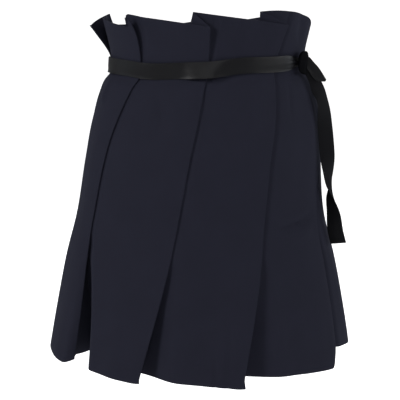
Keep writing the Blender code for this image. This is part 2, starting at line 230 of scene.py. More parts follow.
@dataclass(frozen=True)
class BodyLine:
    """The general figure that fills the skirt out, as rings one above another."""

    # how far the waist sits above its mean level
    waist: tuple[Mark, ...] = tuple(Mark(*row) for row in (
        (-180, .001), (-140, .0005), (-105, .0025), (-75, .0048), (-58, .0022), (-42, -.0008),
        (-10, -.0012), (4, 0), (16, .0022), (40, .0028), (70, .0016), (110, -.0008),
        (150, .0015), (180, .001),
    ))
    waist_high: float = 0.045     # the waist's rise and fall fades out up to here
    waist_low: float = -0.090     # and down to here
    rings: tuple[Ring, ...] = tuple(Ring(*row) for row in (
        (.075, .1375, .107, .105, -.001, .028),
        (.01, .1262, .098, .1, .001, .028),
        (0, .1254, .097, .099, .001, .028),
        (-.01, .126, .097, .099, .0008, .028),
        (-.02, .1332, .101, .103, -.0006, .027),
        (-.034, .1396, .104, .108, -.0009, .025),
        (-.07, .1506, .109, .119, -.0018, .022),
        (-.12, .1574, .113, .13, -.0051, .016),
        (-.2, .1682, .12, .14, -.0084, .01),
        (-.26, .1842, .131, .148, -.0084, .007),
        (-.32, .1965, .144, .159, -.0082, .005),
        (-.395, .2095, .159, .172, -.0088, .005),
    ))

    def column(self, name: str, h: Array) -> Array:
        """Read one column of the table of rings at the heights h."""
        rows = self.rings[::-1]
        return smooth_curve(h, [r.height for r in rows], [getattr(r, name) for r in rows])

    def girth(self, h: Array) -> Array:
        """Length once round: pi (a + b) with the usual correction for a flat ellipse."""
        a = self.column("half_width", h)
        b = 0.5 * (self.column("front", h) + self.column("back", h))
        flat = ((a - b) / (a + b)) ** 2
        return math.pi * (a + b) * (1 + 3 * flat / (10 + np.sqrt(4 - 3 * flat)))

    def waist_girth(self) -> float:
        """Length once round at the middle of the belt."""
        return float(self.girth(np.array(0.0)))

    def place(self, turn: Array, n: Array, h: Array) -> Array:
        """World points: a point of the ellipse, moved n along its level normal.

        Args:
            turn: part of a full turn from the centre front towards +X.
            n: distance out from the body line.
            h: height above the middle of the belt.

        Returns:
            Points, with x, y and z on the last axis.
        """
        turn, n, h = np.broadcast_arrays(turn, n, h)
        a = self.column("half_width", h)
        front, back = self.column("front", h), self.column("back", h)
        b = 0.5 * (front + back)
        even = 2 * math.pi * turn
        angle = even - 0.25 * (a**2 - b**2) / (a**2 + b**2) * np.sin(2 * even)
        across, along = np.sin(angle), np.cos(angle)
        depth = np.where(along > 0, front, back)
        normal_x, normal_y = across / a, -along / depth
        length = np.hypot(normal_x, normal_y)
        x = self.column("centre_x", h) + a * across + n * normal_x / length
        y = -depth * along + n * normal_y / length
        rise = read_round(self.waist, turn) * np.where(
            h > 0, 1 - step(h / self.waist_high), 1 - step(h / self.waist_low))
        return np.stack([x, y, h + rise + x * self.column("slope", h)], axis=-1)


@dataclass(frozen=True)
class Crease:
    """A soft trough, or a ridge where its depth is above zero, from one end to the other."""

    turn_high: float      # degrees round from the centre front
    high: float
    turn_low: float
    low: float
    half_width: float
    depth: float
    bow: float = 0.0      # how far its middle bends towards +X, metres


@dataclass(frozen=True)
class Wave:
    """A long, low swell of the cloth round the body."""

    times: float          # swells in a full turn
    phase: float          # degrees
    lean: float           # radians of phase for each metre down
    height: float


@dataclass(frozen=True)
class Drape:
    """Creases and swells of the hanging cloth, the same for all its layers."""

    body: BodyLine
    creases: tuple[Crease, ...]
    waves: tuple[Wave, ...] = (
        Wave(5.0, 20.0, 9.0, 0.0006),
        Wave(8.0, 140.0, -7.0, 0.0005),
        Wave(13.0, 250.0, 5.0, 0.0003),
    )
    fade: float = 0.35    # the part of a crease's length over which each end fades
    calm: float = 0.012   # half the height of the strip that the belt holds still
    calm_run: float = 0.030       # over how much height the cloth comes to life again

    def lift(self, turn: Array, h: Array) -> Array:
        """How far the cloth stands out at each place.

        A crease is its depth times a bell curve across it and a smooth fade at both of
        its ends. A wave is a sine round the body. Both die away under the belt.

        Args:
            turn: part of a full turn from the centre front.
            h: height above the middle of the belt.

        Returns:
            Distance out, below zero in a trough.
        """
        total = np.zeros(np.broadcast(turn, h).shape)
        for crease in self.creases:
            middle = 0.5 * (crease.high + crease.low)
            metres = self.body.girth(np.array(middle)) / 360.0
            across = (turn * 360.0 - crease.turn_high + 180.0) % 360.0 - 180.0
            run = np.array([(crease.turn_low - crease.turn_high) * metres,
                            crease.low - crease.high])
            length = np.hypot(*run)
            t = (across * metres * run[0] + (h - crease.high) * run[1]) / length**2
            off = (across * metres * -run[1] + (h - crease.high) * run[0]) / length
            off = off - crease.bow * 4 * t * (1 - t)
            fade = step(t / self.fade) * step((1 - t) / self.fade)
            total += crease.depth * np.exp(-((off / crease.half_width) ** 2)) * fade
        for wave in self.waves:
            angle = 2 * math.pi * wave.times * turn + math.radians(wave.phase) + wave.lean * h
            total += wave.height * np.sin(angle)
        return total * step((np.abs(h) - self.calm) / self.calm_run)


# ---------------------------------------------------------------- the pleated gores
@dataclass(frozen=True)
class Pleat:
    """One knife pleat. Its fold leans away from an even eighth of the ring.

    A pair gives a size at the frill's edge and the same size at the hem.
    """

    lean: tuple[float, float, float, float]   # at the frill's edge, high hip, hip and hem
    stitch_end: float                         # height below which the pleat opens
    hidden: tuple[float, float]               # from the fold back to the hidden seam
    depth: tuple[float, float]                # how far in the hidden seam lies
    mouth: tuple[float, float]                # how wide the pleat gapes
    flare: tuple[float, float]                # how far out the fold stands
    tip: float = 0.0          # how far the fold bends towards -X at the frill's edge
    bow: float = 0.0          # how far the open fold bends towards +X above the hem
    roll: float = 0.0015      # how far the open fold's edge rolls in


@dataclass(frozen=True)
class Gore:
    """Heights of one gore's corners, at its hidden left seam and at its right fold."""

    name: str
    top_left: float
    top_right: float
    hem_left: float
    hem_right: float
    soft_hem: float = 0.0     # how far the hem's corner at the fold is rounded up
    peak: float = 0.0         # how far the top edge rises to a point at the fold
    crown: float = 0.0        # how far the top edge is full at its middle
    notch: float = 0.0        # how far the top edge's corner at the left seam is cut down
    sag: float = 0.0          # how much lower the hem hangs for each metre that it goes in


PLEATS: tuple[Pleat, ...] = (
    Pleat((-.004, .0155, .03, .077), -.235, (.021, .03), (.004, .024), (.006, .042), (.006, .004)),
    Pleat((-.015, .0205, .036, .09), -.235, (.038, .03), (.003, .022), (.004, .052), (.006, .004)),
    Pleat((.002, .03, .06, .091), -.205, (.022, .022), (.004, .016), (.006, .008), (.003, .003)),
    Pleat((-.006, .018, .036, .074), -.225, (.056, .024), (.004, .012), (.006, .006), (.006, .003)),
    Pleat((-.01, .016, .032, .082), -.235, (.026, .03), (.004, .01), (.005, .012), (.008, .002)),
    Pleat((0, .018, .038, .07), -.22, (.022, .024), (.004, .014), (.006, .008), (.007, .003)),
    Pleat((0, .02, .04, .06), -.215, (.022, .022), (.004, .02), (.006, .01), (.021, .003)),
    Pleat((-.003, .0245, .037, .052), -.212, (.0155, .02), (.005, .052), (.01, .039), (.004, -.006),
          tip=.01, bow=.005, roll=.008),
)
GORES: tuple[Gore, ...] = (
    Gore("panel_front_left", .0695, .05, -.3772, -.393, .0005, sag=.2),
    Gore("panel_side_front_left", .0675, .047, -.3795, -.3915, .028, crown=.0075, sag=.18),
    Gore("panel_side_back_left", .0574, .056, -.3655, -.386, .002),
    Gore("panel_back_left", .0645, .044, -.371, -.387, .001, crown=.002),
    Gore("panel_back_right", .057, .043, -.372, -.388, .001, crown=.002),
    Gore("panel_side_back_right", .053, .055, -.372, -.387, .002),
    Gore("panel_side_front_right", .069, .0515, -.375, -.3885, .006, peak=.016, crown=.001),
    Gore("panel_front_right", .07, .0515, -.3805, -.3875, .0005, notch=.0055),
)


@dataclass(frozen=True)
class PleatPlace:
    """Where one pleat's fold and hidden seam are, for a whole grid of heights."""

    fold: Array
    hidden: Array
    depth: Array
    flare: Array
    roll: Array
    mouth: Array
    near_s: Array
    near_n: Array
    seam_s: Array             # way along the seam allowance, of length one
    seam_n: Array

    def at(self, columns: slice) -> "PleatPlace":
        """The same pleat at some of the grid's columns."""
        return PleatPlace(*(getattr(self, f)[:, columns] for f in self.__dataclass_fields__))


@dataclass(frozen=True)
class PleatedCut:
    """The whole skirt's cut: its pleats, its gores and the sizes that they share."""

    body: BodyLine
    pleats: tuple[Pleat, ...] = PLEATS
    gores: tuple[Gore, ...] = GORES
    ply: float = 0.0013           # from the middle of one layer to the middle of the next
    frill_top: float = 0.060
    belt_top: float = 0.010
    waist_rows_end: float = -0.060    # the close rows below the belt end here
    level_end: float = -0.350     # rows are level down to here, then lean to the hem
    hem: float = -0.382
    row_counts: tuple[int, ...] = (19, 4, 16, 61, 9)    # between those heights
    high_hip: float = -0.100
    hip: float = -0.200
    tip_start: float = 0.035      # a fold's tip starts to bend at this height
    tip_run: float = 0.033        # and has bent by its full measure so much higher
    frill_power: float = 1.3      # how late the frill's folds flare on their way up
    overlap: float = 0.022        # hidden width of a closed pleat
    rise: float = 0.009           # width over which the underlay comes out to the face
    flare_reach: float = 2.2      # hidden widths of the face that a fold lifts
    ply_run: float = 0.030        # width over which the face climbs the layer below it
    roll_reach: float = 0.011     # over how much of the face the fold's edge rolls in
    behind_fold: float = 0.004    # from the fold back to a station of the underlay
    knee: float = 0.0015          # from the fold on to the station where it starts to rise
    mouth_shares: tuple[float, float] = (0.33, 0.66)    # of the mouth, to two stations
    rise_share: float = 0.45      # of the rise, to the second of them
    open_depth: float = 0.010     # a pleat as deep as this has its underlay rise late
    allowance: float = 0.006      # the seam allowance past the hidden seam
    allowance_cut: float = 0.45   # the part of it that is cut off at the frill's edge
    allowance_columns: int = 3
    trim: float = 0.012           # the allowance's top corner is cut off by this much
    peak_reach: float = 0.0095    # from a fold to where its raised point starts
    notch_reach: float = 0.008    # from a left seam to where its cut corner starts
    corner_reach: float = 0.014   # from a fold to where its rounded corner starts
    join_run: float = 5.0         # one over the part of the return that steps to the next hem
    under_spans: int = 5          # stretches between the underlay's stations
    under_cells: int = 5          # columns in each of them
    face_columns: int = 30
    fold_columns: int = 14
    crowding: float = 1.5         # how much the face's columns crowd towards the fold
    return_columns: int = 12
    settling: int = 4             # rounds in which heights and places settle together
    fold_arc: tuple[float, ...] = (-60.0, -30.0, 0.0, 30.0, 60.0, 90.0)   # degrees

    def pleat_at(self, number: int, h: Array) -> PleatPlace:
        """Place one pleat at the heights h.

        Below the end of its stitching and above the belt the pleat opens in proportion
        to the height left: its hidden part, depth, flare and mouth all grow from there.

        Args:
            number: which pleat, from the centre front towards +X.
            h: heights.

        Returns:
            The fold's arc position and the pleat's sizes there.
        """
        p = self.pleats[number % len(self.pleats)]
        opened = np.maximum((p.stitch_end - h) / (p.stitch_end - self.hem), 0.0)
        raised = np.maximum((h - self.belt_top) / (self.frill_top - self.belt_top), 0.0)
        low = np.clip((self.hip - h) / (self.hip - self.hem), 0.0, 1.0)
        at_top, at_high_hip, at_hip, at_hem = p.lean
        lean = smooth_curve(h, [self.hem, self.hip, self.high_hip, 0.0, self.frill_top],
                            [at_hem, at_hip, at_high_hip, 0.0, at_top])
        lean = lean + p.tip * np.clip((h - self.tip_start) / self.tip_run, 0.0, 1.5) ** 2
        lean = lean - p.bow * 4 * low * (1 - low)
        hidden, depth, mouth = (
            closed + (hem - closed) * opened + (top - closed) * raised
            for (top, hem), closed in ((p.hidden, self.overlap), (p.depth, 0.0), (p.mouth, 0.0)))
        flare = p.flare[1] * opened + p.flare[0] * raised**self.frill_power
        fold = number * self.body.girth(h) / len(self.pleats) - lean
        deep = depth + 1e-6       # never quite zero, so that every way has a length
        back_length = np.hypot(hidden, depth + flare)
        out_length = np.hypot(hidden + mouth, deep)
        seam_s = -hidden / back_length - (hidden + mouth) / out_length
        seam_n = -(depth + flare) / back_length - deep / out_length
        length = np.hypot(seam_s, seam_n)
        seam_s, seam_n = seam_s / length, seam_n / length
        return PleatPlace(fold, hidden, depth, flare, p.roll * opened, mouth,
                          fold - hidden - self.ply * seam_n, -depth + self.ply * seam_s,
                          seam_s, seam_n)

    def face_height(self, s: Array, right: PleatPlace) -> Array:
        """Height of a gore's face: it lifts over the folded layer, flares and rolls in."""
        from_fold = right.fold - s
        over = step((s - (right.fold - right.hidden - self.ply_run)) / self.ply_run)
        return (near(from_fold, self.flare_reach * right.hidden) * right.flare
                + self.ply * over - right.roll * near(from_fold, self.roll_reach))

    def underlay(self, left: PleatPlace) -> Path:
        """Path of the underlay, from the hidden seam out to the body line.

        Its columns run in straight stretches between stations. In a closed pleat it
        rises past the knee by a smooth step; the deeper the pleat, the more it follows
        the square of a smooth step over its whole width instead.
        """
        first, second = self.mouth_shares
        stations = np.stack([
            left.near_s, 0.5 * (left.near_s + left.fold), left.fold - self.behind_fold,
            left.fold + self.knee + first * left.mouth,
            left.fold + second * left.mouth + self.rise_share * self.rise,
            left.fold + left.mouth + self.rise])
        column = np.arange(self.under_columns)
        cell = np.minimum(column // self.under_cells, self.under_spans - 1)
        part = column / self.under_cells - cell
        low, high = stations[cell, :, column].T, stations[cell + 1, :, column].T
        s = low + part * (high - low)
        start, knee, end = stations[0], stations[3], stations[-1]
        flat_rise = step((s - knee) / (end - knee))
        late_rise = step((s - start) / (end - start)) ** 2
        openness = np.clip(left.depth / self.open_depth, 0.0, 1.0)
        return s, left.near_n * (1 - flat_rise - (late_rise - flat_rise) * openness)

    def face(self, left: PleatPlace, right: PleatPlace) -> Path:
        """Path of the face: even columns, then columns that crowd towards the fold."""
        even, hidden_edge = slice(0, self.face_columns), right.fold - right.hidden
        begin = (left.fold + left.mouth + self.rise)[:, even]
        share = (np.arange(self.face_columns) + 1) / self.face_columns
        s_even = begin + share * hidden_edge[:, even] - share * begin
        crowd = slice(self.face_columns, None)
        share = (np.arange(self.fold_columns) + 1) / self.fold_columns
        share = 1 - (1 - share) ** self.crowding
        s_crowd = hidden_edge[:, crowd] + share * (right.hidden - 0.5 * self.ply)[:, crowd]
        s = np.concatenate([s_even, s_crowd], axis=1)
        return s, self.face_height(s, right)

    def folded_back(self, right: PleatPlace) -> Path:
        """Path of the half circle round the fold and of the return below the face.

        The return is a parabola from the circle's end to the next hidden seam, and its
        middle is pressed down to one layer below the face.
        """
        slope = (2 * right.flare / (self.flare_reach * right.hidden)
                 - 2 * right.roll / self.roll_reach)
        length = np.hypot(1.0, slope)
        edge_s = right.fold - 0.5 * self.ply
        edge_n = self.face_height(edge_s, right)
        down_s, down_n = slope / length, -1 / length
        angle = np.radians(np.array(self.fold_arc))
        arc, back = np.s_[:, :len(angle)], np.s_[:, len(angle):]
        lower = 0.5 * self.ply * (1 + np.sin(angle))
        ahead = 0.5 * self.ply * np.cos(angle)
        arc_s = edge_s[arc] + lower * down_s[arc] + ahead / length[arc]
        arc_n = edge_n[arc] + lower * down_n[arc] + ahead * (slope / length)[arc]
        begin_s = (edge_s + self.ply * down_s)[back]
        begin_n = (edge_n + self.ply * down_n)[back]
        place = right.at(back[1])
        far_s, far_n = place.fold - place.hidden, -place.depth
        half_s = 0.5 * (begin_s + far_s)
        below = self.face_height(half_s, place) - self.ply * np.hypot(1, 0.5 * slope[back])
        half_n = np.minimum(0.5 * (begin_n + far_n), below)
        e = (np.arange(self.return_columns) + 1) / self.return_columns
        first, middle, last = (1 - e) * (1 - 2 * e), 4 * e * (1 - e), e * (2 * e - 1)
        s = first * begin_s + middle * half_s + last * far_s
        n = first * begin_n + middle * half_n + last * far_n
        return np.concatenate([arc_s, s], axis=1), np.concatenate([arc_n, n], axis=1)

    def gore_path(self, number: int, h: Array) -> Path:
        """Middle line of one gore's cloth, each column at its own heights.

        From left to right it is the seam allowance, the underlay, which rises from the
        hidden seam to the body line, the face, a half circle round the fold, the return
        below it, and the allowance of the next seam.

        Args:
            number: which gore.
            h: grid of heights, one column for each column of the path.

        Returns:
            Arc position and distance out, as grids like h.
        """
        edge = self.allowance_columns
        inner = h[:, edge:-edge]
        left, right = self.pleat_at(number, inner), self.pleat_at(number + 1, inner)
        under = self.under_columns
        turn = under + self.face_columns + self.fold_columns
        start, end = self.pleat_at(number, h[:, :edge]), self.pleat_at(number + 1, h[:, -edge:])
        past = (np.arange(edge) + 1) / edge * self.allowance
        past_start = past[::-1] * (1 - self.allowance_cut * step(h[:, :edge] / self.frill_top))
        past_end = past * (1 - self.allowance_cut * step(h[:, -edge:] / self.frill_top))
        parts = (
            (start.near_s + past_start * start.seam_s, start.near_n + past_start * start.seam_n),
            self.underlay(left.at(slice(0, under))),
            self.face(left.at(slice(under, turn)), right.at(slice(under, turn))),
            self.folded_back(right.at(slice(turn, None))),
            (end.fold - end.hidden + past_end * end.seam_s, past_end * end.seam_n - end.depth))
        return tuple(np.concatenate(grids, axis=1) for grids in zip(*parts))

    @property
    def under_columns(self) -> int:
        """How many columns the underlay has."""
        return self.under_spans * self.under_cells + 1

    @property
    def columns(self) -> int:
        """How many columns a gore's path has."""
        return (self.under_columns + self.face_columns + self.fold_columns
                + len(self.fold_arc) + self.return_columns + 2 * self.allowance_columns)

    def levels(self) -> Array:
        """Nominal heights of the rows, closer together in the frill and at the belt."""
        stops = (self.frill_top, self.belt_top, -self.belt_top, self.waist_rows_end,
                 self.level_end, self.hem)
        rows = [np.linspace(high, low, count + 1)[:-1]
                for high, low, count in zip(stops, stops[1:], self.row_counts)]
        return np.concatenate([*rows, [self.hem]])

    def settle(self, number: int) -> tuple[Array, Array, Array, Array]:
        """Let each point's height and its place along the row settle together.

        The top edge and the hem run straight from the hidden left seam to the fold,
        and rise again along the return to meet the next gore where they are joined.

        Args:
            number: which gore.

        Returns:
            Grids of arc position, distance out, height, and of the distances from the
            hem and from the top edge.
        """
        gore, after = self.gores[number], self.gores[(number + 1) % len(self.gores)]
        levels = self.levels()[:, None]
        h = np.repeat(levels, self.columns, axis=1)
        behind = self.return_columns + self.allowance_columns + 1
        column = np.arange(self.columns)
        turned = column >= self.columns - behind
        edge = self.allowance_columns
        past = np.maximum(edge - column, column - (self.columns - 1 - edge)) / edge
        past = np.clip(past, 0.0, 1.0)
        for _ in range(self.settling):
            s, n = self.gore_path(number, h)
            left, right = self.pleat_at(number, h), self.pleat_at(number + 1, h)
            share = np.clip((s - left.near_s) / (right.fold - left.near_s), 0.0, 1.0)
            share = np.where(turned, 1.0, share)
            back = np.where(turned, np.clip((right.fold - s) / right.hidden, 0.0, 1.0), 0.0)
            corner = near(right.fold - s, self.corner_reach)
            point = near(right.fold - s, self.peak_reach)
            start = near(s - left.near_s, self.notch_reach)
            top = gore.top_left + (gore.top_right - gore.top_left) * share
            top += (after.top_left - after.notch - gore.top_right) * back + gore.peak * point
            top -= gore.notch * start
            top += gore.crown * 4 * share * (1 - share)
            top -= self.trim * past
            hem = gore.hem_left + (gore.hem_right - gore.hem_left) * share
            hem += ((after.hem_left - gore.hem_right) * step(self.join_run * back)
                    + gore.soft_hem * corner)
            hem += gore.sag * np.minimum(n, 0.0)
            raised = (levels - self.belt_top) / (self.frill_top - self.belt_top)
            low = (self.level_end - levels) / (self.level_end - self.hem)
            h = np.where(raised > 0, self.belt_top + raised * (top - self.belt_top),
                         np.where(low > 0, self.level_end + low * (hem - self.level_end), levels))
        return s, n, h, h - hem, top - h


@dataclass
class SkirtGore:
    """One gore of the skirt, from the frill's edge to the hem."""

    cut: PleatedCut
    drape: Drape
    number: int
    cloth: float = 0.0009
    flat_width: float = field(init=False, default=0.0)
    flat_length: float = field(init=False, default=0.0)
    flat_area: float = field(init=False, default=0.0)

    @property
    def name(self) -> str:
        """Name of the gore and of the node that it stands for."""
        return self.cut.gores[self.number].name

    def middle(self) -> tuple[Array, Array, Array]:
        """Middle face of the cloth: the settled path, lifted by the drape.

        Returns:
            The grid of points, the place on the cloth and the distances to its edges.
        """
        s, n, h, from_hem, from_top = self.cut.settle(self.number)
        turn = s / self.cut.body.girth(h)
        points = self.cut.body.place(turn, n + self.drape.lift(turn, h), h)
        along = np.linalg.norm(np.diff(points, axis=1), axis=-1)
        down = np.linalg.norm(np.diff(points, axis=0), axis=-1)
        width = np.concatenate([np.zeros((len(h), 1)), np.cumsum(along, axis=1)], axis=1)
        self.flat_width = float(width[:, -1].max())
        self.flat_length = float(down.sum(axis=0).max())
        slant = down.mean(axis=1)
        self.flat_area = float(np.sum(slant * 0.5 * (width[1:, -1] + width[:-1, -1])))
        return points, np.stack([width, h], axis=-1), np.stack([from_hem, from_top], axis=-1)

    def build(self, material: bpy.types.Material) -> bpy.types.Object:
        """Make the gore's wall and say what it rides on; its flat size is worked out on the way."""
        middle, uv, edge = self.middle()
        obj = sheet_object(f"cloth_{self.name}", middle, self.cloth, uv, edge, material)
        claim(obj, self.name)
        return obj


# ---------------------------------------------------------------- the ribbon
@dataclass(frozen=True)
class RibbonBand:
    """The ribbon drawn round the waist, gathered where it goes into the knot."""

    body: BodyLine
    width: float = 0.020
    wall: float = 0.0009
    inner: float = 0.0023         # from the body line out to the ribbon
    gather: float = 0.42          # the part of its width that it loses beside the knot
    gather_reach: float = 0.016
    gather_power: float = 2.5
    ripple: float = 0.0005        # height of the folds that the gathering makes
    ripple_turns: float = 3.5     # half waves of them in half a width
    full: float = 0.0007          # how far the middle stands out from the edges
    wander: float = 0.0004        # how far the ribbon strays up and down
    wander_times: int = 9
    wander_phase: float = 1.0
    sway: float = 0.0003          # how far it strays out
    sway_times: int = 8
    sway_phase: float = 0.6
    sway_lean: float = 0.8
    columns: int = 480
    rows: int = 15
    # slope by which the lower edge stands off
    tilts: tuple[Mark, ...] = tuple(Mark(*row) for row in (
        (-180, .05), (-140, .14), (-110, .02), (-84, .1), (-62, .07), (-46, .03), (-17, .03),
        (-10, .28), (3, .3), (10, .1), (34, .03), (42, .02), (58, 0), (72, .02), (100, .12),
        (135, .02), (180, .05),
    ))

    def middle(self) -> tuple[Array, Array]:
        """Middle face: a flat band, slightly full across, narrower beside the knot.

        Returns:
            The grid of points, and the place on the ribbon along and across it.
        """
        girth = self.body.waist_girth()
        turn = np.arange(self.columns) / self.columns
        across = np.linspace(1.0, -1.0, self.rows)[:, None]
        away = ((turn - KNOT_TURN + 0.5) % 1.0 - 0.5) * girth
        gather = np.exp(-((np.abs(away) / self.gather_reach) ** self.gather_power))
        half = 0.5 * self.width * (1 - self.gather * gather)
        wander = np.sin(2 * math.pi * self.wander_times * turn + self.wander_phase)
        h = across * half - self.wander * wander
        full = self.full * (1 - across**2)
        ripple = self.ripple * gather * np.cos(self.ripple_turns * math.pi * across)
        sway = self.sway * (1 + np.sin(2 * math.pi * self.sway_times * turn + self.sway_phase
                                       + self.sway_lean * across))
        tilt = read_round(self.tilts, turn) * (1 - gather) * half * (1 - across)
        n = self.inner + 0.5 * self.wall + full + ripple + sway + tilt
        uv = np.stack(np.broadcast_arrays(turn * girth, h), axis=-1)
        return self.body.place(turn, n, h), uv

    def build(self, material: bpy.types.Material, knot: bpy.types.Object) -> bpy.types.Object:
        """Make the band round the waist."""
        middle, uv = self.middle()
        edge = np.stack([0.5 * self.width + uv[..., 1], 0.5 * self.width - uv[..., 1]], axis=-1)
        obj = sheet_object("ribbon_band", middle, self.wall, uv, edge, material, closed=True)
        claim(obj, "belt_band")
        return obj


@dataclass(frozen=True)
class RibbonKnot:
    """The knot: ribbon wrapped over the band, full at top and bottom, with lengthwise folds."""

    body: BodyLine
    along: float = 0.0105         # half its size round the waist, out from it and up
    out: float = 0.0062
    up: float = 0.0150
    start: float = 0.0040         # from the body line out to the knot
    roundness: float = 0.7        # below one, the ends are fuller than an ellipsoid's
    pinch: float = 0.16           # how much narrower the middle is
    pinch_power: int = 4
    fold: float = 0.07            # how deep the folds are
    fold_count: int = 5
    fold_lean: float = 1.8
    columns: int = 72
    rows: int = 48

    def build(self, material: bpy.types.Material) -> bpy.types.Object:
        """Make the knot: a rounded lump whose girth swells in shallow folds."""
        way = np.linspace(0, 2 * math.pi, self.columns, endpoint=False)[None, :]
        rise = np.linspace(0.5 * math.pi, -0.5 * math.pi, self.rows + 2)[1:-1, None]
        rounded = np.cos(rise) ** self.roundness
        pinch = 1 - self.pinch * np.cos(rise) ** self.pinch_power
        folds = 1 - self.fold * (1 + np.cos(self.fold_count * way + self.fold_lean
                                            * np.sin(rise))) * np.cos(rise)
        turn = KNOT_TURN + (self.along * pinch * rounded * folds * np.cos(way)
                            / self.body.waist_girth())
        n = self.start + self.out + self.out * rounded * folds * np.sin(way)
        grid = self.body.place(turn, n, self.up * np.sin(rise) + 0.0 * way)
        poles = self.body.place(np.full(2, KNOT_TURN), self.start + self.out,
                                np.array([self.up, -self.up]))
        index = np.arange(self.rows * self.columns).reshape(self.rows, self.columns)
        right = np.roll(index, -1, axis=1)
        sides = np.stack([index[:-1], right[:-1], right[1:], index[1:]], axis=-1).reshape(-1, 4)
        caps = [np.stack([np.full(self.columns, pole), one, other], axis=-1).tolist()
                for pole, one, other in ((index.size, right[0], index[0]),
                                         (index.size + 1, index[-1], right[-1]))]
        mesh = bpy.data.meshes.new("ribbon_knot")
        verts = np.concatenate([grid.reshape(-1, 3), poles])
        mesh.from_pydata(verts.tolist(), [], sides.tolist() + caps[0] + caps[1])
        layer = mesh.uv_layers.new(name="cloth")
        loops = np.zeros(len(mesh.loops), np.int32)
        mesh.loops.foreach_get("vertex_index", loops)
        layer.data.foreach_set("uv", verts[loops][:, (0, 2)].astype(np.float32).ravel())
        mesh.shade_smooth()
        mesh.materials.append(material)
        obj = put("ribbon_knot", mesh)
        claim(obj, "belt_knot")
        return obj


@dataclass(frozen=True)
class Station:
    """A place on a loose ribbon's middle line, with its width and its twist."""

    x: float
    y: float
    z: float
    width: float
    twist: float          # degrees from +X towards +Y, of the way across the ribbon
    dip: float            # degrees that the way across falls
    cup: float = 0.0      # how far the ribbon's middle stands out from its edges


@dataclass(frozen=True)
class RibbonEnd:
    """A loose end of the ribbon, carried along its middle line."""

    name: str
    node: str
    stations: tuple[Station, ...]
    wall: float = 0.0008
    per_station: int = 10
    columns: int = 13

    def build(self, material: bpy.types.Material) -> bpy.types.Object:
        """Make the end: a straight way across at each place, turned as the stations say."""
        count = len(self.stations)
        t = np.linspace(0, count - 1, self.per_station * (count - 1) + 1)
        read = {f: smooth_curve(t, np.arange(count), [getattr(s, f) for s in self.stations])
                for f in Station.__dataclass_fields__}
        line = np.stack([read["x"], read["y"], read["z"]], axis=-1)
        twist, dip = np.radians(read["twist"]), np.radians(read["dip"])
        across = np.stack([np.cos(twist) * np.cos(dip), np.sin(twist) * np.cos(dip),
                           np.sin(dip)], axis=-1)
        normal = np.cross(np.gradient(line, axis=0), across)
        normal /= np.linalg.norm(normal, axis=-1, keepdims=True)
        share = np.linspace(-1, 1, self.columns)
        side = 0.5 * share[None, :, None] * read["width"][:, None, None]
        cup = read["cup"][:, None, None] * (1 - share[None, :, None] ** 2)
        middle = line[:, None] + side * across[:, None] + cup * normal[:, None]
        run = np.concatenate([[0], np.cumsum(np.linalg.norm(np.diff(line, axis=0), axis=-1))])
        uv = np.stack(np.broadcast_arrays(side[..., 0], run[:, None]), axis=-1)
        half = 0.5 * read["width"][:, None]
        edge = np.stack([half + side[..., 0], half - side[..., 0]], axis=-1)
        obj = sheet_object(self.name, middle, self.wall, uv, edge, material)
        claim(obj, self.node)
        return obj


LONG_END: tuple[Station, ...] = tuple(Station(*row) for row in (
    (.1262, -.0458, -.003, .012, 0, 84),
    (.1303, -.0446, -.008, .014, 0, 74, .0004),
    (.1357, -.042, -.015, .015, 4, 56, .0006),
    (.1422, -.0385, -.027, .018, 20, 35, .0012),
    (.1488, -.037, -.041, .02, 42, 14, .0014),
    (.152, -.038, -.056, .0205, 34, 4, .0012),
    (.1534, -.04, -.074, .0205, 18, 0, .0006),
    (.1554, -.0408, -.093, .0205, 12, 0, .0004),
    (.1576, -.04, -.115, .0205, 14, 0, .0008),
    (.1596, -.0372, -.136, .02, 40, 0, .002),
    (.1609, -.0345, -.156, .02, 68, 0, .004),
    (.164, -.0312, -.174, .02, 112, 0, .0036),
    (.1688, -.0324, -.194, .0205, 142, 0, .0008),
    (.1716, -.034, -.2165, .021, 164, -3, -.0006),
    (.1762, -.0355, -.235, .021, 164, -8, -.0008),
))
SHORT_END: tuple[Station, ...] = tuple(Station(*row) for row in (
    (.1262, -.048, .006, .013, 0, 88),
    (.1299, -.048, .004, .016, 0, 84, -.0006),
    (.1346, -.0478, -.0018, .0155, 0, 76, -.001),
    (.1398, -.0475, -.008, .015, 0, 66, -.0012),
    (.1456, -.047, -.0138, .011, 0, 60, -.0006),
    (.1524, -.0465, -.018, .003, 0, 56),
))


# ---------------------------------------------------------------- finishes
def node(tree: bpy.types.NodeTree, kind: str, place: tuple[float, float],
         **values: object) -> bpy.types.Node:
    """Add one shader node, set its values and link its inputs.

    Args:
        tree: the tree that gets the node.
        kind: the node's type.
        place: where it is drawn.
        values: properties of the node, set in the order given. A name that starts with
            in_ is an input, by its name or number, and takes a value or an output.

    Returns:
        The node.
    """
    made = tree.nodes.new(kind)
    made.location = place
    for key, value in values.items():
        if not key.startswith("in_"):
            setattr(made, key, value)
            continue
        name = key[3:].replace("_", " ")
        socket = made.inputs[int(name) if name.isdigit() else name]
        if isinstance(value, bpy.types.NodeSocket):
            tree.links.new(value, socket)
        else:
            socket.default_value = value
    return made


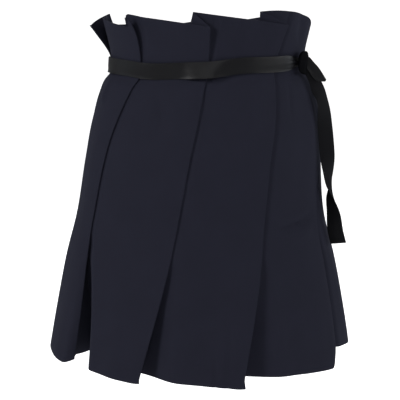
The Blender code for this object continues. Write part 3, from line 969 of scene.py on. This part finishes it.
def crepe_group() -> bpy.types.NodeTree:
    """Fine crepe: a pebbly twist of yarns, and slow changes of shade over the cloth.

    Height is fine noise, weighted, plus the waves of the crossed yarns. Shade is slow
    noise about one half.

    Returns:
        The node group, with its inputs and outputs named.
    """
    group = bpy.data.node_groups.new("fine_crepe", "ShaderNodeTree")
    for name, way, kind in (("Vector", "INPUT", "Vector"), ("Yarns", "INPUT", "Float"),
                            ("Pebble", "INPUT", "Float"), ("Height", "OUTPUT", "Float"),
                            ("Shade", "OUTPUT", "Float")):
        group.interface.new_socket(name, in_out=way, socket_type=f"NodeSocket{kind}")
    given = node(group, "NodeGroupInput", (-800, 0)).outputs
    warp, weft = (node(group, "ShaderNodeTexWave", (-500, row), bands_direction=way,
                       in_Vector=given["Vector"], in_Scale=given["Yarns"],
                       in_Distortion=1.5, in_Detail=2.0, in_Detail_Scale=2.0)
                  for way, row in (("X", 200), ("Y", -50)))
    pebble = node(group, "ShaderNodeTexNoise", (-500, -300), in_Vector=given["Vector"],
                  in_Scale=given["Pebble"], in_Detail=3.0, in_Roughness=0.6)
    slow = node(group, "ShaderNodeTexNoise", (-500, -550), in_Vector=given["Vector"],
                in_Scale=26.0, in_Detail=4.0, in_Roughness=0.55)
    woven = node(group, "ShaderNodeMath", (-250, 100), operation="ADD",
                 in_0=warp.outputs["Fac"], in_1=weft.outputs["Fac"])
    height = node(group, "ShaderNodeMath", (0, 0), operation="MULTIPLY_ADD",
                  in_0=pebble.outputs["Fac"], in_1=1.6, in_2=woven.outputs[0])
    node(group, "NodeGroupOutput", (600, 0), in_Height=height.outputs[0],
         in_Shade=slow.outputs["Fac"])
    return group


@dataclass(frozen=True)
class ClothFinish:
    """A woven cloth: shade and roughness follow slow noise, and bump follows the yarns."""

    group: bpy.types.NodeTree
    name: str
    dark: Colour
    light: Colour
    roughness: float
    smoother: float       # how far the roughness falls where the shade is lowest
    rougher: float        # how far it rises where the shade is highest
    gloss: float
    yarns: float
    pebble: float
    bump: float
    bump_height: float

    def relief(self, tree: bpy.types.NodeTree,
               weave: bpy.types.NodeSocket) -> bpy.types.NodeSocket:
        """Height of the cloth's face: here, only its weave."""
        return weave

    def material(self) -> bpy.types.Material:
        """Make the cloth's material, read from the cloth's own map."""
        made = bpy.data.materials.new(self.name)
        made.use_nodes = True
        tree = made.node_tree
        place = node(tree, "ShaderNodeUVMap", (-1200, 100), uv_map="cloth")
        weave = node(tree, "ShaderNodeGroup", (-900, 100), node_tree=self.group,
                     in_Vector=place.outputs[0], in_Yarns=self.yarns,
                     in_Pebble=self.pebble).outputs
        shade = node(tree, "ShaderNodeMix", (-500, 300), data_type="RGBA",
                     in_Factor=weave["Shade"], in_A=(*self.dark, 1.0), in_B=(*self.light, 1.0))
        rough = node(tree, "ShaderNodeMapRange", (-500, 100), in_Value=weave["Shade"],
                     in_To_Min=self.roughness - self.smoother,
                     in_To_Max=self.roughness + self.rougher)
        bump = node(tree, "ShaderNodeBump", (-200, -200), in_Strength=self.bump,
                    in_Distance=self.bump_height, in_Height=self.relief(tree, weave["Height"]))
        shader = tree.nodes["Principled BSDF"].inputs
        shader["Specular IOR Level"].default_value = self.gloss
        tree.links.new(shade.outputs["Result"], shader["Base Color"])
        tree.links.new(rough.outputs["Result"], shader["Roughness"])
        tree.links.new(bump.outputs[0], shader["Normal"])
        return made


@dataclass(frozen=True)
class CrepeFinish(ClothFinish):
    """Matt navy crepe, with the hem's and the frill's turned edges stitched in."""

    name: str = "navy_crepe_cloth"
    dark: Colour = (0.0148, 0.0153, 0.0250)
    light: Colour = (0.0190, 0.0196, 0.0318)
    roughness: float = 0.78
    smoother: float = 0.05
    rougher: float = 0.07
    gloss: float = 0.06
    yarns: float = 420.0
    pebble: float = 900.0
    bump: float = 0.35
    bump_height: float = 0.0002
    sheen: float = 0.03
    sheen_roughness: float = 0.45
    sheen_tint: Colour = (0.62, 0.66, 0.95)
    hem_turn: float = 0.024       # height of the hem's stitch line
    top_turn: float = 0.009       # depth of the frill's turned edge
    stitch_width: float = 0.0005  # half the width of both lines
    stitch_depth: float = 1.5     # beside the weave's own height

    def relief(self, tree: bpy.types.NodeTree,
               weave: bpy.types.NodeSocket) -> bpy.types.NodeSocket:
        """Height of the cloth's face: its weave, pulled in along both stitch lines."""
        edges = node(tree, "ShaderNodeUVMap", (-1200, -300), uv_map="edge")
        apart = node(tree, "ShaderNodeSeparateXYZ", (-1000, -300), in_0=edges.outputs[0])
        hem, top = (node(tree, "ShaderNodeMath", (-800, row), operation="COMPARE",
                         in_0=apart.outputs[output], in_1=distance, in_2=self.stitch_width)
                    for output, distance, row in (("X", self.hem_turn, -300),
                                                  ("Y", self.top_turn, -500)))
        both = node(tree, "ShaderNodeMath", (-600, -400), operation="MAXIMUM",
                    in_0=hem.outputs[0], in_1=top.outputs[0])
        return node(tree, "ShaderNodeMath", (-400, -200), operation="MULTIPLY_ADD",
                    in_0=both.outputs[0], in_1=-self.stitch_depth, in_2=weave).outputs[0]

    def material(self) -> bpy.types.Material:
        """Make the crepe's material, with its faint sheen."""
        made = super().material()
        shader = made.node_tree.nodes["Principled BSDF"].inputs
        shader["Sheen Weight"].default_value = self.sheen
        shader["Sheen Roughness"].default_value = self.sheen_roughness
        shader["Sheen Tint"].default_value = (*self.sheen_tint, 1.0)
        return made


@dataclass(frozen=True)
class SatinFinish(ClothFinish):
    """Black satin ribbon: a soft sheen over a close weave."""

    name: str = "black_satin_face"
    dark: Colour = (0.0052, 0.0053, 0.0064)
    light: Colour = (0.0076, 0.0077, 0.0092)
    roughness: float = 0.36
    smoother: float = 0.06
    rougher: float = 0.08
    gloss: float = 0.155
    yarns: float = 700.0
    pebble: float = 500.0
    bump: float = 0.2
    bump_height: float = 0.0001


# ---------------------------------------------------------------- the studio
@dataclass(frozen=True)
class Lamp:
    """A soft square light that looks at the middle of the skirt."""

    name: str
    place: tuple[float, float, float]
    size: float
    power: float
    colour: Colour = (1.0, 1.0, 1.0)


@dataclass(frozen=True)
class Studio:
    """Pale floor, plain soft light, and the camera at the photograph's angle."""

    floor_level: float = -0.90
    floor_start: float = 0.01     # radius of the opening at the dish's centre
    floor_flat: float = 4.0
    floor_reach: float = 9.0
    floor_rise: float = 4.0
    floor_columns: int = 97
    floor_rows: int = 24
    floor_shade: float = 0.90
    floor_glow: float = 0.90      # how brightly the camera sees the floor by itself
    middle: tuple[float, float, float] = (0.0, 0.0, -0.16)
    eye: tuple[float, float, float] = (-0.0086, -1.3, 0.081)
    pitch: float = 11.49
    lens: float = 87.75
    sensor: float = 36.0
    lamps: tuple[Lamp, ...] = (
        Lamp("key_light", (-2.75, -2.0, 1.4), 1.0, 64.0),
        Lamp("front_light", (0.2, -3.4, 1.5), 0.9, 24.0),
        Lamp("fill_light", (3.0, -1.3, 0.5), 0.9, 26.0),
        Lamp("right_rim", (3.0, 0.5, 0.4), 0.9, 18.0, (0.86, 0.93, 1.0)),
        Lamp("left_rim", (-3.0, 0.2, 0.3), 1.0, 5.0, (0.84, 0.92, 1.0)),
        Lamp("back_light", (0.2, 3.2, 1.4), 1.6, 34.0),
    )
    ambient: float = 0.14

    def floor(self) -> bpy.types.Object:
        """Make the floor: a wide dish, level in the middle and swept up at its rim.

        The dish is a profile of radius and height carried round a full turn: level out to
        floor_flat, then up with the square of the way out, by floor_rise at floor_reach.

        Returns:
            The floor.
        """
        angle = np.linspace(0, 2 * math.pi, self.floor_columns)[None, :]
        radius = np.concatenate([[self.floor_start], np.linspace(
            self.floor_flat, self.floor_reach, self.floor_rows)])[:, None]
        share = (radius - self.floor_flat) / (self.floor_reach - self.floor_flat)
        height = self.floor_level + self.floor_rise * np.clip(share, 0, 1) ** 2
        grid = np.stack(np.broadcast_arrays(radius * np.cos(angle), radius * np.sin(angle),
                                            height), axis=-1)
        index = np.arange(radius.size * angle.size).reshape(radius.size, angle.size)
        mesh = bpy.data.meshes.new("floor")
        mesh.from_pydata(grid.reshape(-1, 3).tolist(), [], quads(index).tolist())
        mesh.shade_smooth()
        made = bpy.data.materials.new("pale_floor")
        made.use_nodes = True
        tree = made.node_tree
        rays = node(tree, "ShaderNodeLightPath", (-500, -200))
        seen = node(tree, "ShaderNodeMath", (-250, -200), operation="MULTIPLY",
                    in_0=rays.outputs["Is Camera Ray"], in_1=self.floor_glow)
        shader = tree.nodes["Principled BSDF"].inputs
        shader["Base Color"].default_value = (*[self.floor_shade] * 3, 1.0)
        shader["Roughness"].default_value = 0.9
        shader["Emission Color"].default_value = (1.0, 1.0, 1.0, 1.0)
        tree.links.new(seen.outputs[0], shader["Emission Strength"])
        mesh.materials.append(made)
        obj = put("floor", mesh)
        return obj

    def light(self) -> None:
        """Add the lamps, each turned to the middle of the skirt, and the soft surround."""
        for lamp in self.lamps:
            data = bpy.data.lights.new(lamp.name, "AREA")
            data.size, data.energy, data.color = lamp.size, lamp.power, lamp.colour
            obj = put(lamp.name, data)
            obj.location = lamp.place
            x, y, z = np.array(self.middle) - np.array(lamp.place)
            obj.rotation_euler = (math.atan2(math.hypot(x, y), -z), 0.0, math.atan2(-x, y))
        world = bpy.data.worlds.new("surround")
        bpy.context.scene.world = world
        world.use_nodes = True
        back = world.node_tree.nodes["Background"]
        back.inputs["Color"].default_value = (1.0, 1.0, 1.0, 1.0)
        back.inputs["Strength"].default_value = self.ambient

    def camera(self) -> None:
        """Add the camera, a little above the belt and tipped down."""
        data = bpy.data.cameras.new("camera")
        data.lens, data.sensor_width = self.lens, self.sensor
        obj = put("camera", data)
        obj.location = self.eye
        obj.rotation_euler = (math.radians(90.0 - self.pitch), 0.0, 0.0)
        bpy.context.scene.camera = obj

    def build(self) -> None:
        """Set the whole studio up."""
        self.floor()
        self.light()
        self.camera()
        bpy.context.scene.view_settings.view_transform = "Standard"


CREASES: tuple[Crease, ...] = tuple(Crease(*row) for row in (
    # soft rolls in the frill, between the pleats
    (-12, .075, -8, .012, .009, -.0012),
    (20, .078, 17, .01, .01, .0012),
    (66, .075, 70, .008, .009, -.0025),
    (120, .072, 116, .01, .01, -.0022),
    (158, .07, 161, .01, .008, .0018),
    (-130, .072, -127, .01, .01, -.0022),
    (-98, .07, -96, .01, .008, .0016),
    # short drag folds that fan out from under the belt
    (-33, -.014, -24, -.075, .004, -.0011, .003),
    (-24, -.016, -10, -.06, .0035, -.0008, .002),
    (-4, -.014, 2, -.07, .005, -.0008),
    (31, -.014, 24, -.085, .0045, -.0009, -.003),
    (56, -.014, 50, -.07, .004, -.0012, -.002),
    (74, -.014, 77, -.095, .005, -.0012),
    (-74, -.004, -68, -.052, .006, .0042),
    (-88, -.014, -84, -.08, .005, -.0012),
    (104, -.014, 98, -.08, .0045, -.0011, .002),
    (141, -.014, 135, -.07, .0045, -.0009),
    (172, -.014, 176, -.09, .005, -.001, .003),
    (-150, -.014, -158, -.075, .0045, -.001),
    (-118, -.014, -111, -.085, .005, -.0011, -.002),
    # a slack fold across the hip at the wearer's left, and its like on the other sides
    (34, -.204, 68, -.188, .005, -.0042, -.003),
    (38, -.22, 64, -.206, .007, .0022, -.002),
    (118, -.214, 146, -.236, .006, -.0014, .004),
    (-150, -.24, -124, -.222, .007, -.0013, -.003),
    # long soft folds that run down to the hem
    (13, -.3, 10, -.43, .005, -.0012),
    (6, -.335, 6.5, -.44, .0035, -.0012),
    (-6, -.21, -12, -.43, .018, .0022, .004),
    (-33, -.23, -36, -.43, .016, .002, -.003),
    (36, -.24, 40, -.43, .015, -.0018, .003),
    (72, -.22, 76, -.43, .015, .0024, .004),
    (112, -.23, 109, -.43, .016, -.0022, .003),
    (150, -.215, 154, -.43, .017, .0022, -.004),
    (-168, -.225, -165, -.43, .015, -.002, .003),
    (-128, -.22, -131, -.43, .017, .0024, .004),
    (-92, -.23, -95, -.43, .015, -.0018, .003),
))


def main() -> None:
    """Build the studio and the skirt piece by piece, and report each."""
    logging.basicConfig(level=logging.INFO, format="%(message)s")
    Studio().build()
    body = BodyLine()
    cut = PleatedCut(body)
    drape = Drape(body, CREASES)
    group = crepe_group()
    crepe = CrepeFinish(group).material()
    satin = SatinFinish(group).material()
    reverse = SatinFinish(group, dark=(0.0068, 0.0069, 0.0082), light=(0.0098, 0.0100, 0.0116),
                          roughness=0.62, gloss=0.04, name="black_satin_reverse").material()
    # the knot's satin: a darker copy of the face, painted shade for the knot, which sits in shadow
    painted_shade_satin = SatinFinish(group, dark=(0.0030, 0.0031, 0.0040), light=(0.0045, 0.0046, 0.0056),
                         roughness=0.70, gloss=0.03, name="black_satin_painted_shade").material()
    for number in range(len(cut.gores)):
        gore = SkirtGore(cut, drape, number)
        made = gore.build(crepe)
        log.info("%s: %d faces, cut %.3f by %.3f m, %.4f square metres", made.name,
                 len(made.data.polygons), gore.flat_width, gore.flat_length, gore.flat_area)
    knot = RibbonKnot(body).build(painted_shade_satin)
    band = RibbonBand(body).build(satin, knot)
    for made in (knot, band,
                 RibbonEnd("ribbon_long_end", "belt_long_end", LONG_END).build(reverse),
                 RibbonEnd("ribbon_short_end", "belt_short_end", SHORT_END).build(satin)):
        log.info("%s: %d faces", made.name, len(made.data.polygons))


if __name__ == "__main__":
    main()
